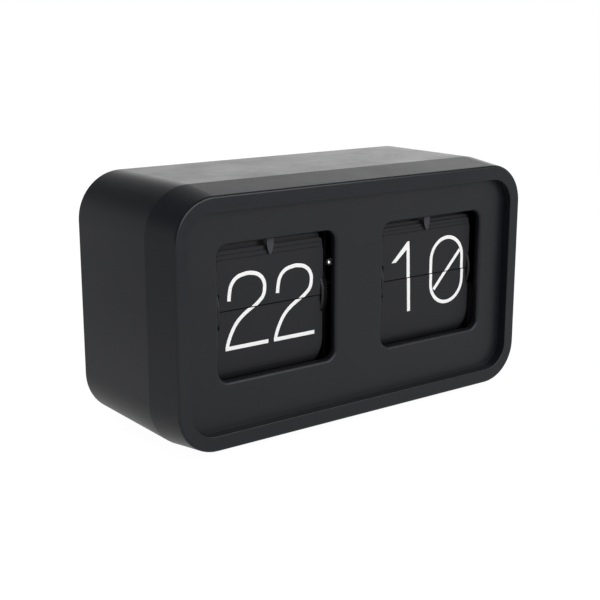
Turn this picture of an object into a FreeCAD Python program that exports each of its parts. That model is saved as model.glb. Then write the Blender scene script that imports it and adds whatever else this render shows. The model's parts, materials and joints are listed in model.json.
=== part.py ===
import FreeCAD, Part
import math
import os

# A two-window table flip clock, in millimetres.
# X runs to the right as the dial is read, Y runs from the front to the back, Z is up.
# The origin is on the table, under the middle of the clock.

V = FreeCAD.Vector

# Case
case_width = 370.0
case_height = 209.0
case_depth = 146.0
case_corner = 39.0
case_wall = 3.0
taper_depth = 37.0
taper_inset = 4.7
rim_side = 11.0
rim_top = 12.6
rim_edge = 2.0
recess_edge = 0.7
rear_edge = 1.2
recess_depth = 8.5
recess_corner = 22.0
collar_wall = 2.5
foot_height = 1.0
foot_radius = 8.0
foot_side_inset = 42.0
foot_front_inset = 47.0
foot_rear_inset = 16.0

# Face plate and its windows
plate_thickness = 3.0
window_side_margin = 29.8
window_spacing = 51.1
window_shift = 1.2
drum_spread = 0.875
window_height = 108.3
window_drop = 27.4
window_corner = 9.0
window_edge = 2.9
window_lip_depth = 6.0
window_lip_wall = 1.8
plate_screws_across = 3
plate_screw_side = 67.0
boss_sink = 0.6

# Rear cover, its posts and the battery bay
cover_thickness = 3.5
cover_recess = 4.0
cover_gap = 0.25
post_radius = 5.0
post_length = 34.0
post_frame_gap = 8.0
cell_radius = 17.1
cell_length = 61.5
cell_nub_radius = 4.75
cell_nub_height = 2.0
cell_edge = 1.0
cell_room = 0.5
cell_end_room = 0.1
cell_height = 62.0
bay_wall = 2.0
contact_thickness = 0.5
contact_width = 12.0
contact_reach = 8.5
contact_spring_length = 5.8
contact_spring_width = 10.0
lead_slot = 4.0
lead_slot_setback = 6.0
door_thickness = 2.4
door_margin = 3.2
door_gap = 0.3
door_pin_radius = 0.8
door_pin_length = 1.6
thumb_notch_radius = 2.2
thumb_notch_length = 18.0
thumb_notch_drop = 5.0

# Drums and leaves
leaf_setback = 8.5
axis_rise = 1.25
pin_radius = 28.7
flange_radius = 30.8
flange_thickness = 2.5
flange_edge = 0.4
flange_holes = 6
flange_hole_radius = 4.5
groove_half_width = 1.0
groove_depth = 1.3
hub_radius = 12.0
hub_wall = 2.0
bearing_boss_radius = 5.0
gear_standoff = 2.5
minute_leaves = 60
hour_leaves = 48
minute_split_rise = 0.25
hour_split_rise = -1.0
leaf_side_room = 5.125
leaf_waist_inset = 2.5
leaf_length = 38.5
leaf_notch = 12.4
leaf_corner = 3.0
leaf_notch_corner = 0.6
leaf_thickness = 0.2
leaf_split = 0.9
leaf_pin_radius = 0.4
leaf_pin_root = 1.5
leaf_lean_from = 20.0
leaf_lean_rate = 1.08
falling_leaf_lift = 0.45
finger_width = 6.6
finger_offset = -1.5
finger_tip_radius = 1.3
finger_taper = 9.0
finger_bulge = 0.5
finger_thickness = 0.8
finger_tab = 14.0
finger_screw_setback = 8.4
finger_gap = 0.5
finger_tip_gap = 0.25

# Movement frame
axle_radius = 2.0
axle_overhang = 2.0
running_gap = 0.05
side_gap = 0.3
sheet = 2.0
base_clearance = 7.0
base_side_margin = 9.0
base_front_gap = 9.0
base_screw_inset = 6.0
plate_front_gap = 13.0
plate_bay_gap = 5.3
plate_rear_margin = 6.0
tab_length = 11.0
top_tab_depth = 14.0
foot_screw_inset = 12.0
top_bar_rise = 12.7
top_bar_sheet = 2.5
top_bar_depth = 30.0
top_bar_rib = 9.0
left_end_gap = 5.6
right_end_gap = 11.2
centre_plate_offset = 18.0
centre_stud_radius = 3.0
centre_stud_length = 23.2
centre_stud_rise = 17.5
centre_stud_dome_share = 0.88
clip_radius = 4.0
clip_thickness = 0.8

# Gears
pressure_angle = 25.0
backlash = 0.14
gear_face = 4.0
pinion_extra = 0.5
minute_pinion_teeth = 14
transfer_gear_teeth = 56
fast_module = 0.9
transfer_pinion_teeth = 12
hour_gear_teeth = 72
slow_module = 0.75
arbor_angle = -40.0
arbor_radius = 1.5
arbor_shoulder_radius = 3.5
drive_module_size = 0.8
drive_pinion_teeth = 12
minute_gear_teeth = 60
drive_angle = -90.0
drive_shaft_radius = 1.2
drive_shaft_depth = 6.0
setting_gear_teeth = 40
setting_shaft_radius = 2.5
setting_shoulder_radius = 4.5
setting_wheel_size = 27.7
setting_wheel_gap = 2.0
setting_wheel_width = 7.0
setting_wheel_grips = 36
setting_grip_depth = 0.8
setting_wheel_edge = 0.5
setting_reach = 3.4
stud_cap_radius = 3.4
stud_cap_thickness = 1.1

# Drive unit
unit_size = 42.0
unit_width = 20.0
unit_corner = 5.0
unit_drop = 9.5
unit_spigot_radius = 5.0
unit_screw_spread = 13.0

# Screws
screw_radius = 1.3
screw_gap = 0.05
hole_overcut = 0.5
screw_head_radius = 2.7
screw_head_height = 1.8
screw_head_round = 0.8
screw_slot = 0.6
screw_slot_reach = 1.9
screw_length = 7.0
boss_radius = 2.9
stand_radius = 3.9

# Leads between the battery contacts and the drive unit
lead_radius = 0.7
lead_below_bay = 9.0
lead_below_wheel = 20.7
lead_spacing = 2.2
lead_behind_frame = 5.5
lead_entry_spread = 6.0
lead_exit_run = 18.0
lead_slack_run = 50.0
lead_rise_run = 40.0
lead_sag = 4.0
lead_sway = 0.5
lead_bend_share = 0.45

# Places worked out from the sizes above
front_y = -case_depth / 2
rear_y = case_depth / 2
case_bottom = foot_height
case_top = foot_height + case_height
floor_z = case_bottom + case_wall
plate_front_y = front_y + recess_depth
plate_rear_y = plate_front_y + plate_thickness
side_margin = taper_inset + rim_side + window_side_margin
window_width = (case_width - 2 * side_margin - window_spacing) / 2
window_offset = (window_width + window_spacing) / 2
plate_screw_spread = case_width / 2 - plate_screw_side
leaf_width = window_width - 2 * leaf_side_room
leaf_waist = leaf_width - 2 * leaf_waist_inset
window_top = case_top - taper_inset - rim_top - window_drop
top_bar_height = window_top + top_bar_rise
window_low = window_top - window_height
axis_z = (window_top + window_low) / 2 + axis_rise
leaf_plane_y = plate_front_y + leaf_setback
axis_y = leaf_plane_y + pin_radius
cover_rear_y = rear_y - cover_recess
cover_front_y = cover_rear_y - cover_thickness
base_z = floor_z + base_clearance
plate_foot_z = base_z + sheet
drum_half_width = leaf_waist / 2 + side_gap
drum_outer = drum_half_width + flange_thickness
hour_window_x = window_shift - window_offset
minute_window_x = window_shift + window_offset
hour_x = -window_offset - drum_spread
minute_x = window_offset + drum_spread
left_plate_x = hour_x - drum_outer - left_end_gap - sheet
right_plate_x = minute_x + drum_outer + right_end_gap
centre_left_x = -centre_plate_offset - sheet
centre_right_x = centre_plate_offset
frame_front_y = leaf_plane_y + plate_front_gap
bay_half_height = cell_radius + cell_room
bay_front_y = cover_front_y - 2 * bay_half_height
frame_rear_y = bay_front_y - bay_wall - plate_bay_gap
fast_distance = fast_module * (minute_pinion_teeth + transfer_gear_teeth) / 2
drive_distance = drive_module_size * (drive_pinion_teeth + minute_gear_teeth) / 2
setting_span = cover_rear_y + setting_reach - setting_wheel_size - axis_y
idler_teeth = round(setting_span / drive_module_size - (minute_gear_teeth + setting_gear_teeth) / 2)
idler_distance = drive_module_size * (idler_teeth + minute_gear_teeth) / 2
setting_distance = drive_module_size * (idler_teeth + setting_gear_teeth) / 2
slow_gear_x = hour_x + drum_outer + gear_standoff
fast_gear_x = minute_x - drum_outer - gear_standoff - gear_face
drive_gear_x = minute_x + drum_outer + gear_standoff
idler_y = axis_y + idler_distance
setting_y = idler_y + setting_distance
setting_wheel_radius = cover_rear_y + setting_reach - setting_y
setting_wheel_x = right_plate_x + sheet + setting_wheel_gap
right_frame_rear_y = setting_y + setting_shaft_radius + plate_rear_margin
unit_x = right_plate_x + sheet
finger_y = leaf_plane_y - falling_leaf_lift - leaf_thickness / 2 - finger_gap - finger_thickness


def at_angle(radius, degrees):
    """Y and Z of a point at this angle, counted from +Y towards +Z."""
    a = math.radians(degrees)
    return radius * math.cos(a), radius * math.sin(a)


def around_axle(radius, degrees):
    dy, dz = at_angle(radius, degrees)
    return axis_y + dy, axis_z + dz


arbor_y, arbor_z = around_axle(fast_distance, arbor_angle)
drive_y, drive_z = around_axle(drive_distance, drive_angle)
unit_z = drive_z - unit_drop


# Shapes that are used again and again
def box(x0, x1, y0, y1, z0, z1):
    return Part.makeBox(x1 - x0, y1 - y0, z1 - z0, V(x0, y0, z0))


def rod_x(radius, x0, x1, y, z):
    return Part.makeCylinder(radius, x1 - x0, V(x0, y, z), V(1, 0, 0))


def rod_y(radius, y0, y1, x, z):
    return Part.makeCylinder(radius, y1 - y0, V(x, y0, z), V(0, 1, 0))


def rod_z(radius, z0, z1, x, y):
    return Part.makeCylinder(radius, z1 - z0, V(x, y, z0), V(0, 0, 1))


def rounded_outline(x0, x1, z0, z1, radius, y):
    """A closed rounded rectangle in the plane at this y."""
    corners = [
        (x1 - radius, z1 - radius, 0),
        (x0 + radius, z1 - radius, 90),
        (x0 + radius, z0 + radius, 180),
        (x1 - radius, z0 + radius, 270),
    ]
    arcs = []
    for cx, cz, start in corners:
        points = []
        for turn in (0, 45, 90):
            dx, dz = at_angle(radius, start + turn)
            points.append(V(cx + dx, y, cz + dz))
        arcs.append(points)
    edges = []
    for i, points in enumerate(arcs):
        edges.append(Part.Arc(*points).toShape())
        edges.append(Part.LineSegment(points[2], arcs[(i + 1) % 4][0]).toShape())
    return Part.Wire(edges)


def prism_y(wire, depth):
    return Part.Face(wire).extrude(V(0, depth, 0))


def polygon_face(points):
    return Part.Face(Part.makePolygon(points + points[:1]))


def fuse_all(shapes):
    return shapes[0].multiFuse(shapes[1:]).removeSplitter()


def cut_all(shape, tools):
    return shape.cut(Part.makeCompound(tools))


def edges_in_plane_y(shape, y):
    return [e for e in shape.Edges if abs(e.BoundBox.YMin - y) < 1e-4 and abs(e.BoundBox.YMax - y) < 1e-4]


def closed_edges(shape):
    return [e for e in shape.Edges if e.Closed]


# Screws
def screw(x, y, z, direction, length):
    """A pan-head screw whose head sits on the point and whose shank runs along the direction."""
    h = screw_head_height
    head = Part.makeCylinder(screw_head_radius, h, V(0, 0, -h))
    top_edge = [e for e in closed_edges(head) if e.BoundBox.ZMax < -h / 2]
    head = head.makeFillet(screw_head_round, top_edge)
    whole = fuse_all([head, Part.makeCylinder(screw_radius, length)])
    s = screw_slot / 2
    r = screw_slot_reach
    cross = [box(-r, r, -s, s, -h - s, -h + screw_slot), box(-s, s, -r, r, -h - s, -h + screw_slot)]
    whole = whole.cut(fuse_all(cross))
    whole.Placement = FreeCAD.Placement(V(x, y, z), FreeCAD.Rotation(V(0, 0, 1), V(*direction)))
    return whole


def screw_hole(x, y, z, direction, length):
    axis = V(*direction)
    start = V(x, y, z) - axis * hole_overcut
    return Part.makeCylinder(screw_radius + screw_gap, length + 2 * hole_overcut, start, axis)


# Gears
def involute(angle):
    return math.tan(angle) - angle


def gear_outline(teeth, module, phase, x, y, z):
    """The points of an involute gear with one tooth centred on the phase angle."""
    pitch_r = module * teeth / 2
    base_r = pitch_r * math.cos(math.radians(pressure_angle))
    tip_r = pitch_r + module
    root_r = pitch_r - 1.25 * module
    half_at_pitch = math.pi / (2 * teeth) - backlash / (2 * pitch_r)
    half_at_base = half_at_pitch + involute(math.radians(pressure_angle))
    start_r = max(base_r, root_r)
    flank = []
    for step in range(4):
        r = start_r + (tip_r - start_r) * step / 3
        flank.append((r, half_at_base - involute(math.acos(min(1.0, base_r / r)))))
    if root_r < base_r:
        flank.insert(0, (root_r, flank[0][1]))
    points = []
    for k in range(teeth):
        middle = math.radians(phase) + 2 * math.pi * k / teeth
        for r, half in flank:
            points.append(V(x, y + r * math.cos(middle - half), z + r * math.sin(middle - half)))
        for r, half in reversed(flank):
            points.append(V(x, y + r * math.cos(middle + half), z + r * math.sin(middle + half)))
    return points


def gear(teeth, module, phase, x, y, z, face):
    return polygon_face(gear_outline(teeth, module, phase, x, y, z)).extrude(V(face, 0, 0))


def meshing_phase(teeth, phase, direction, other_teeth):
    """The phase of a gear that lies in this direction and is in mesh with the first."""
    share = ((direction - phase) * teeth / 360.0) % 1.0
    return direction + 180.0 - (0.5 - share) * 360.0 / other_teeth


# Case shell
def case_section(y, inset):
    half = case_width / 2 - inset
    return rounded_outline(-half, half, case_bottom + inset, case_top - inset, case_corner - inset, y)


def recess_section(y, grow):
    half = case_width / 2 - taper_inset - rim_side + grow
    low = case_bottom + taper_inset + rim_top - grow
    high = case_top - taper_inset - rim_top + grow
    return rounded_outline(-half, half, low, high, recess_corner + grow, y)


def tapered_block(front_inset, rear_inset, y0, y1):
    """The tapered front and the straight rear of the case, as one solid."""
    taper_end = front_y + taper_depth
    front = Part.makeLoft([case_section(y0, front_inset), case_section(taper_end, rear_inset)], True, True)
    rear = prism_y(case_section(taper_end, rear_inset), y1 - taper_end)
    return fuse_all([front, rear])


def plate_screw_places():
    """Where the face plate is screwed to the case, as X and Z."""
    reach = collar_wall + boss_radius - boss_sink
    low = case_bottom + taper_inset + rim_top - reach
    high = case_top - taper_inset - rim_top + reach
    places = []
    for i in range(plate_screws_across):
        x = plate_screw_spread * (2 * i / (plate_screws_across - 1) - 1)
        places += [(x, low), (x, high)]
    return places


def post_places():
    """Where the rear cover is screwed to the case, as X and Z."""
    x = right_plate_x - tab_length - post_frame_gap - post_radius
    low = floor_z + post_radius - boss_sink
    high = case_top - case_wall - post_radius + boss_sink
    return [(x, low), (-x, low), (x, high), (-x, high)]


def base_screw_places():
    """Where the movement base is screwed to the case floor, as X and Y."""
    x0 = left_plate_x - base_side_margin + base_screw_inset
    x1 = right_plate_x + sheet + base_side_margin - base_screw_inset
    y0 = frame_front_y + base_screw_inset
    y1 = frame_rear_y - base_screw_inset
    return [(x0, y0), (x0, y1), (x1, y0), (x1, y1)]


def outer_rear_edges(shell):
    found = []
    half = case_width / 2 - case_wall / 2
    low = case_bottom + case_wall / 2
    high = case_top - case_wall / 2
    for e in edges_in_plane_y(shell, rear_y):
        b = e.BoundBox
        if b.XMax > half or b.XMin < -half or b.ZMin < low or b.ZMax > high:
            found.append(e)
    return found


def recess_mouth_edges(shell):
    found = []
    reach = case_width / 2 - taper_inset - rim_side + 1.0
    low = case_bottom + taper_inset + rim_top - 1.0
    high = case_top - taper_inset - rim_top + 1.0
    for e in edges_in_plane_y(shell, front_y):
        b = e.BoundBox
        if -reach < b.XMin and b.XMax < reach and low < b.ZMin and b.ZMax < high:
            found.append(e)
    return found


def make_case_shell():
    inner_y = front_y + case_wall
    inner_inset = taper_inset * (1 - case_wall / taper_depth) + case_wall
    outer = tapered_block(taper_inset, 0.0, front_y, rear_y)
    outer = outer.makeFillet(rim_edge, edges_in_plane_y(outer, front_y))
    inner = tapered_block(inner_inset, case_wall, inner_y, rear_y + 1.0)
    shell = outer.cut(inner)
    collar = prism_y(recess_section(inner_y - 1.0, collar_wall), plate_front_y - inner_y + 1.0)
    bosses = [rod_y(boss_radius, inner_y - 1.0, plate_front_y, x, z) for x, z in plate_screw_places()]
    posts = [rod_y(post_radius, cover_front_y - post_length, cover_front_y, x, z) for x, z in post_places()]
    stands = [rod_z(stand_radius, floor_z - 1.0, base_z, x, y) for x, y in base_screw_places()]
    shell = fuse_all([shell, collar] + bosses + posts + stands)
    shell = shell.cut(prism_y(recess_section(front_y - 1.0, 0.0), recess_depth + 2.0))
    shell = shell.makeFillet(recess_edge, recess_mouth_edges(shell))
    shell = shell.makeFillet(rear_edge, outer_rear_edges(shell))
    holes = []
    for x, z in plate_screw_places():
        holes.append(screw_hole(x, plate_front_y, z, (0, -1, 0), screw_length - plate_thickness))
    for x, z in post_places():
        holes.append(screw_hole(x, cover_front_y, z, (0, -1, 0), 2 * screw_length))
    for x, y in base_screw_places():
        holes.append(screw_hole(x, y, base_z, (0, 0, -1), base_clearance))
    return cut_all(shell, holes)


# Face plate
def window_section(centre_x, y, grow):
    half = window_width / 2 + grow
    low = window_low - grow
    high = window_top + grow
    return rounded_outline(centre_x - half, centre_x + half, low, high, window_corner + grow, y)


def window_mouth_edges(plate):
    found = []
    reach = window_offset + window_width / 2 + abs(window_shift) + 1.0
    for e in edges_in_plane_y(plate, plate_front_y):
        b = e.BoundBox
        if -reach < b.XMin and b.XMax < reach and window_low - 1.0 < b.ZMin and b.ZMax < window_top + 1.0:
            found.append(e)
    return found


def make_face_plate():
    margin = collar_wall + 2 * boss_radius - boss_sink
    plate = prism_y(recess_section(plate_front_y, margin), plate_thickness)
    lips = []
    openings = []
    for x in (hour_window_x, minute_window_x):
        lips.append(prism_y(window_section(x, plate_front_y + 1.0, window_lip_wall), window_lip_depth - 1.0))
        openings.append(prism_y(window_section(x, plate_front_y - 1.0, 0.0), window_lip_depth + 2.0))
    plate = cut_all(fuse_all([plate] + lips), openings)
    plate = plate.makeFillet(window_edge, window_mouth_edges(plate))
    holes = [screw_hole(x, plate_front_y, z, (0, 1, 0), plate_thickness) for x, z in plate_screw_places()]
    return cut_all(plate, holes)


# Rear cover with its battery bay
bay_half = (cell_length + contact_spring_length + contact_thickness + 4 * cell_end_room) / 2
door_half = bay_half + door_margin
door_low = cell_height - bay_half_height - door_margin
door_high = cell_height + bay_half_height + door_margin
door_front_y = cover_rear_y - door_thickness
door_axis_y = cover_rear_y - door_thickness / 2
door_axis_z = door_low + door_gap + door_thickness / 2
cell_y = cover_front_y - bay_half_height
cell_end_x = bay_half - contact_thickness - cell_end_room
cell_start_x = cell_end_x - cell_length
lead_y = cover_front_y - lead_slot_setback


def make_rear_cover():
    cover = prism_y(case_section(cover_front_y, case_wall + cover_gap), cover_thickness)
    low = cell_height - bay_half_height
    high = cell_height + bay_half_height
    bay = box(-bay_half - bay_wall, bay_half + bay_wall, bay_front_y - bay_wall, cover_front_y + 1.0,
              low - bay_wall, high + bay_wall)
    cover = fuse_all([cover, bay])
    pin_reach = door_half + door_pin_length
    slot_half = math.sqrt(setting_wheel_radius ** 2 - (cover_front_y - setting_y) ** 2) + setting_grip_depth
    wheel_end = setting_wheel_x + setting_wheel_width
    cuts = [
        box(-bay_half, bay_half, bay_front_y, cover_rear_y + 1.0, low, high),
        box(-door_half, door_half, door_front_y - door_gap, cover_rear_y + 1.0, door_low, door_high),
        rod_x(door_pin_radius + running_gap, -pin_reach, pin_reach, door_axis_y, door_axis_z),
        box(setting_wheel_x - setting_grip_depth, wheel_end + setting_grip_depth,
            cover_front_y - 1.0, cover_rear_y + 1.0, axis_z - slot_half, axis_z + slot_half),
    ]
    for x0 in (-bay_half - bay_wall - 1.0, bay_half - 1.0):
        cuts.append(box(x0, x0 + bay_wall + 2.0, lead_y - lead_slot / 2, lead_y + lead_slot / 2,
                        cell_height - lead_slot / 2, cell_height + lead_slot / 2))
    for x, z in post_places():
        cuts.append(screw_hole(x, cover_rear_y, z, (0, -1, 0), cover_thickness))
    return cut_all(cover, cuts)


def make_battery_door():
    half = door_half - door_gap
    top = door_high - door_gap
    door = box(-half, half, door_front_y, cover_rear_y, door_axis_z, top)
    barrel = rod_x(door_thickness / 2, -half, half, door_axis_y, door_axis_z)
    reach = door_half + door_pin_length - door_gap
    pins = rod_x(door_pin_radius, -reach, reach, door_axis_y, door_axis_z)
    notch = rod_x(thumb_notch_radius, -thumb_notch_length / 2, thumb_notch_length / 2,
                  cover_rear_y + thumb_notch_radius / 2, top - thumb_notch_drop)
    return fuse_all([door, barrel, pins]).cut(notch)


def make_cell():
    can = rod_x(cell_radius, cell_start_x, cell_end_x - cell_nub_height, cell_y, cell_height)
    can = can.makeFillet(cell_edge, closed_edges(can))
    nub = rod_x(cell_nub_radius, cell_end_x - cell_nub_height - cell_edge, cell_end_x, cell_y, cell_height)
    return fuse_all([can, nub])


def make_positive_contact():
    half = contact_width / 2
    return box(bay_half - contact_thickness, bay_half, cell_y - contact_reach, lead_y + lead_slot / 2,
               cell_height - half, cell_height + half)


def make_negative_contact():
    """A bent strip that presses on the flat end of the cell."""
    t = contact_thickness
    touch = cell_start_x - cell_end_room
    wall = -bay_half
    z0 = cell_height - contact_spring_width / 2
    foot0 = cell_y - contact_reach
    foot1 = cell_y + contact_reach
    tab = lead_y + lead_slot / 2
    crown = contact_spring_length / 4
    outline = [
        V(wall, foot0, z0), V(wall + t, foot0, z0),
        V(touch, cell_y - crown, z0), V(touch, cell_y + crown, z0),
        V(wall + t, foot1, z0), V(wall + t, tab, z0), V(wall, tab, z0), V(wall, foot1 - t, z0),
        V(touch - t, cell_y + crown - t, z0), V(touch - t, cell_y - crown + t, z0),
    ]
    return polygon_face(outline).extrude(V(0, 0, contact_spring_width))


# Movement frame
# Each upright plate has its place, the side its tabs are bent to, and its rear edge.
frame_rows = {
    "frame_plate_left": (left_plate_x, 1, frame_rear_y),
    "frame_plate_centre_left": (centre_left_x, 1, frame_rear_y),
    "frame_plate_centre_right": (centre_right_x, -1, frame_rear_y),
    "frame_plate_right": (right_plate_x, -1, right_frame_rear_y),
}


def tab_middle(x, tab_side):
    return x - tab_length / 2 if tab_side < 0 else x + sheet + tab_length / 2


def foot_screw_places(x, tab_side, y1):
    tx = tab_middle(x, tab_side)
    return [(tx, frame_front_y + foot_screw_inset), (tx, y1 - foot_screw_inset)]


def top_screw_place(x, tab_side):
    return tab_middle(x, tab_side), frame_front_y + top_tab_depth / 2


def drive_screw_places():
    """Where the drive unit is screwed to the right plate, as Y and Z."""
    z = unit_z - unit_screw_spread
    return [(drive_y - unit_screw_spread, z), (drive_y + unit_screw_spread, z)]


def plate_holes(name):
    axle_hole = (axle_radius + running_gap, axis_y, axis_z)
    arbor_hole = (arbor_radius + running_gap, arbor_y, arbor_z)
    holes = {
        "frame_plate_left": [axle_hole],
        "frame_plate_centre_left": [axle_hole, arbor_hole],
        "frame_plate_centre_right": [axle_hole, arbor_hole, (axle_radius, axis_y, axis_z + centre_stud_rise)],
        "frame_plate_right": [
            axle_hole,
            (unit_spigot_radius + running_gap, drive_y, drive_z),
            (setting_shaft_radius + running_gap, setting_y, axis_z),
            (axle_radius, idler_y, axis_z),
        ],
    }
    return holes[name]


def make_frame_plate(name):
    """An upright sheet plate with a foot and a top tab bent to one side."""
    x, tab_side, y1 = frame_rows[name]
    plate = box(x, x + sheet, frame_front_y, y1, plate_foot_z, top_bar_height)
    tab_x0 = x - tab_length if tab_side < 0 else x
    tab_x1 = x + sheet if tab_side < 0 else x + sheet + tab_length
    foot = box(tab_x0, tab_x1, frame_front_y, y1, plate_foot_z, plate_foot_z + sheet)
    top_y1 = frame_front_y + top_tab_depth
    top = box(tab_x0, tab_x1, frame_front_y, top_y1, top_bar_height - sheet, top_bar_height)
    plate = fuse_all([plate, foot, top])
    cuts = [rod_x(r, x - 1.0, x + sheet + 1.0, y, z) for r, y, z in plate_holes(name)]
    for tx, ty in foot_screw_places(x, tab_side, y1):
        cuts.append(screw_hole(tx, ty, plate_foot_z + sheet, (0, 0, -1), sheet))
    tx, ty = top_screw_place(x, tab_side)
    cuts.append(screw_hole(tx, ty, top_bar_height, (0, 0, -1), sheet))
    if name == "frame_plate_right":
        cuts += [screw_hole(x, y, z, (1, 0, 0), sheet) for y, z in drive_screw_places()]
    return cut_all(plate, cuts)


def make_frame_base():
    x0 = left_plate_x - base_side_margin
    x1 = right_plate_x + sheet + base_side_margin
    base = box(x0, x1, leaf_plane_y + base_front_gap, frame_rear_y, base_z, plate_foot_z)
    strip_x0 = right_plate_x - tab_length - sheet
    strip = box(strip_x0, x1, frame_rear_y - 1.0, right_frame_rear_y, base_z, plate_foot_z)
    cuts = [screw_hole(x, y, plate_foot_z, (0, 0, -1), sheet) for x, y in base_screw_places()]
    for x, side, y1 in frame_rows.values():
        for tx, ty in foot_screw_places(x, side, y1):
            cuts.append(screw_hole(tx, ty, plate_foot_z, (0, 0, -1), sheet))
    return cut_all(fuse_all([base, strip]), cuts)


def make_top_bar():
    x0 = left_plate_x
    x1 = right_plate_x + sheet
    y1 = finger_y + top_bar_depth
    flat = box(x0, x1, finger_y, y1, top_bar_height, top_bar_height + top_bar_sheet)
    rib = box(x0, x1, y1 - sheet, y1, top_bar_height, top_bar_height + top_bar_rib)
    cuts = []
    for tx, ty in top_bar_screw_places():
        cuts.append(screw_hole(tx, ty, top_bar_height + top_bar_sheet, (0, 0, -1), top_bar_sheet))
    return cut_all(fuse_all([flat, rib]), cuts)


def finger_screw_place(centre_x):
    return centre_x + finger_offset, finger_y + finger_screw_setback


def top_bar_screw_places():
    places = [top_screw_place(x, side) for x, side, y1 in frame_rows.values()]
    return places + [finger_screw_place(hour_x), finger_screw_place(minute_x)]


def make_axle():
    x1 = right_plate_x + sheet + axle_overhang
    return rod_x(axle_radius, left_plate_x - axle_overhang, x1, axis_y, axis_z)


def make_axle_clips():
    rings = []
    for x0 in (left_plate_x - clip_thickness, right_plate_x + sheet):
        ring = rod_x(clip_radius, x0, x0 + clip_thickness, axis_y, axis_z)
        rings.append(ring.cut(rod_x(axle_radius, x0 - 1.0, x0 + clip_thickness + 1.0, axis_y, axis_z)))
    return Part.makeCompound(rings)


def make_centre_stud():
    """The bright stud with a domed end that shows beside the hour drum."""
    z = axis_z + centre_stud_rise
    x0 = centre_right_x - centre_stud_length
    head = rod_x(centre_stud_radius, x0, centre_right_x, axis_y, z)
    end = [edge for edge in closed_edges(head) if edge.BoundBox.XMax < x0 + 0.1]
    head = head.makeFillet(centre_stud_radius * centre_stud_dome_share, end)
    return fuse_all([head, rod_x(axle_radius, centre_right_x - 1.0, centre_right_x + sheet, axis_y, z)])


def make_idler_stud():
    x0 = drive_gear_x - side_gap - stud_cap_thickness
    stud = rod_x(axle_radius, x0, right_plate_x + sheet, idler_y, axis_z)
    cap = rod_x(stud_cap_radius, x0, x0 + stud_cap_thickness, idler_y, axis_z)
    collar = rod_x(stud_cap_radius, drive_gear_x + gear_face + side_gap, right_plate_x, idler_y, axis_z)
    return fuse_all([stud, cap, collar])


# Drums
def make_flange(centre_x, side, boss_length):
    """A drum end disc with a ring groove for the leaf pins on its inner face."""
    inner = centre_x + side * drum_half_width
    outer = inner + side * flange_thickness
    end = outer + side * boss_length
    x0 = min(inner, outer)
    disc = rod_x(flange_radius, x0, x0 + flange_thickness, axis_y, axis_z)
    disc = disc.makeFillet(flange_edge, closed_edges(disc))
    boss = rod_x(bearing_boss_radius, min(inner, end), max(inner, end), axis_y, axis_z)
    groove_x0 = inner - 1.0 if side > 0 else inner - groove_depth
    groove_x1 = groove_x0 + groove_depth + 1.0
    ring = rod_x(pin_radius + groove_half_width, groove_x0, groove_x1, axis_y, axis_z)
    ring = ring.cut(rod_x(pin_radius - groove_half_width, groove_x0, groove_x1, axis_y, axis_z))
    bore = rod_x(axle_radius + running_gap, min(inner, end) - 1.0, max(inner, end) + 1.0, axis_y, axis_z)
    cuts = [ring, bore]
    middle = (pin_radius - groove_half_width + hub_radius) / 2
    for k in range(flange_holes):
        y, z = around_axle(middle, 360.0 * (k + 0.5) / flange_holes)
        cuts.append(rod_x(flange_hole_radius, x0 - 1.0, x0 + flange_thickness + 1.0, y, z))
    return cut_all(fuse_all([disc, boss]), cuts)


def make_hub(centre_x):
    x0 = centre_x - drum_half_width
    x1 = centre_x + drum_half_width
    tube = rod_x(hub_radius, x0, x1, axis_y, axis_z)
    return tube.cut(rod_x(hub_radius - hub_wall, x0 - 1.0, x1 + 1.0, axis_y, axis_z))


def drum_wheel(wheel, boss_x0, boss_x1, x0, x1):
    """A gear of a drum with its bearing boss and its running hole."""
    boss = rod_x(bearing_boss_radius, boss_x0, boss_x1, axis_y, axis_z)
    return fuse_all([wheel, boss]).cut(rod_x(axle_radius + running_gap, x0 - 1.0, x1 + 1.0, axis_y, axis_z))


# Leaves
def split_phase(rise):
    """How far round a drum has crept from level, in degrees."""
    return math.degrees(math.asin(rise / pin_radius))


def leaf_top_z(leaves, rise):
    front = split_phase(rise) + 180.0 / leaves
    return axis_z + at_angle(pin_radius + falling_leaf_lift, front)[1] + leaf_length


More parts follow.
